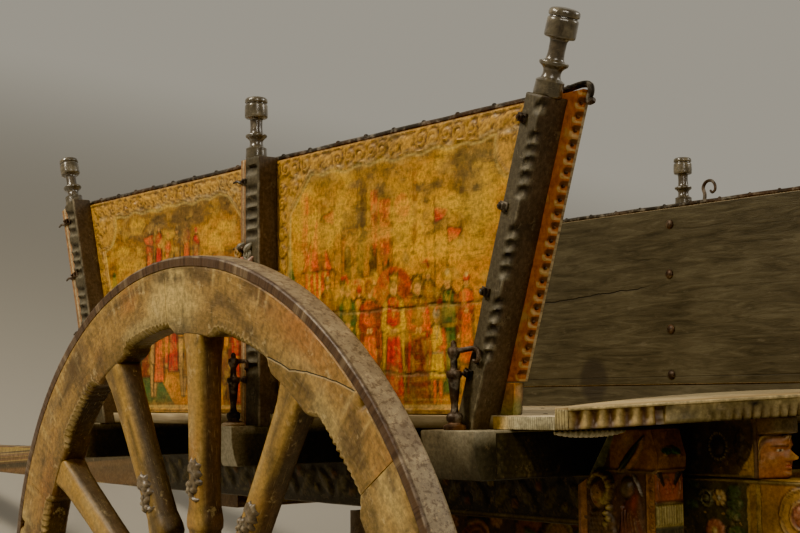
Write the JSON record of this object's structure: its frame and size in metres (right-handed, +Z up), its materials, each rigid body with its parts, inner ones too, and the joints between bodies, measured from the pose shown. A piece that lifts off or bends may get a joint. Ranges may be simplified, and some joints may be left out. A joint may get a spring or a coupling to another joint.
{
  "type": "sicilian cart",
  "caption": "Painted and carved two-wheeled farm cart with spoked iron-tyred wheels, flared side boards on posts and long shafts, parked nose-down.",
  "frame": {"origin": "on the ground, under the middle of the parked cart's bounding box", "axes": "+X forwards towards the shaft tips, +Y to the cart's left, +Z up; the cart stands nose-down on both wheels and both shaft tips"},
  "size_m": [3.272, 1.7942, 1.8266],
  "materials": {
    "bare_boards": "bare dusty floor boards",
    "carved_painted_wood": "carved wood with worn orange, red and green paint",
    "greased_iron": "dark, greasy, worn bright on the arms",
    "painted_panel": "old painted and gilded board, worn, with cracks",
    "painted_wheel_wood": "worn ochre paint over brown wood",
    "post_wood": "dark grey-green weathered paint over brown wood",
    "shaft_wood": "dark brown old paint with ochre traces",
    "tyre_iron": "dusty worn iron with rust flecks and a dark edge",
    "worn_shelf_wood": "worn pale wood with traces of red and yellow paint",
    "wrought_iron": "dark forged iron with a little rust and gilding on the knobs"
  },
  "bodies": {
    "cart": {"axle": "greased_iron", "axle_case": "carved_painted_wood", "axle_nuts": "greased_iron", "floor_boards": "bare_boards", "front_crossbeam": "carved_painted_wood", "front_key": "carved_painted_wood", "front_post_left": "post_wood", "front_post_right": "post_wood", "front_shelf": "worn_shelf_wood", "harness_eyes": "wrought_iron", "middle_crossbeam": "carved_painted_wood", "middle_post_left": "post_wood", "middle_post_right": "post_wood", "post_stays": "wrought_iron", "rear_brackets": "carved_painted_wood", "rear_crossbeam": "carved_painted_wood", "rear_key": "carved_painted_wood", "rear_post_left": "post_wood", "rear_post_right": "post_wood", "rear_shelf": "worn_shelf_wood", "scrollwork_front": "wrought_iron", "scrollwork_rear": "wrought_iron", "shaft_clamps": "wrought_iron", "shaft_ferrules": "wrought_iron", "shaft_left": "shaft_wood", "shaft_right": "shaft_wood", "shelf_blocks": "carved_painted_wood", "side_panel_left": "painted_panel", "side_panel_right": "painted_panel", "side_rail_left": "carved_painted_wood", "side_rail_right": "carved_painted_wood", "top_rod_left": "wrought_iron", "top_rod_right": "wrought_iron"},
    "wheel_left": {"felloes_left": "painted_wheel_wood", "hub_bands_left": "wrought_iron", "hub_bush_left": "greased_iron", "hub_left": "painted_wheel_wood", "spokes_left": "painted_wheel_wood", "tyre_left": "tyre_iron"},
    "wheel_right": {"felloes_right": "painted_wheel_wood", "hub_bands_right": "wrought_iron", "hub_bush_right": "greased_iron", "hub_right": "painted_wheel_wood", "spokes_right": "painted_wheel_wood", "tyre_right": "tyre_iron"}
  },
  "joints": [
    {"name": "wheel_left_turn", "type": "hinge", "parent": "cart", "child": "wheel_left", "pos_m": [-0.86281, 0.742, 0.67529], "axis": [-0.0146, 0.9992, -0.0383], "continuous": true},
    {"name": "wheel_right_turn", "type": "hinge", "parent": "cart", "child": "wheel_right", "pos_m": [-0.86281, -0.742, 0.67529], "axis": [0.0146, 0.9992, 0.0383], "continuous": true}
  ]
}
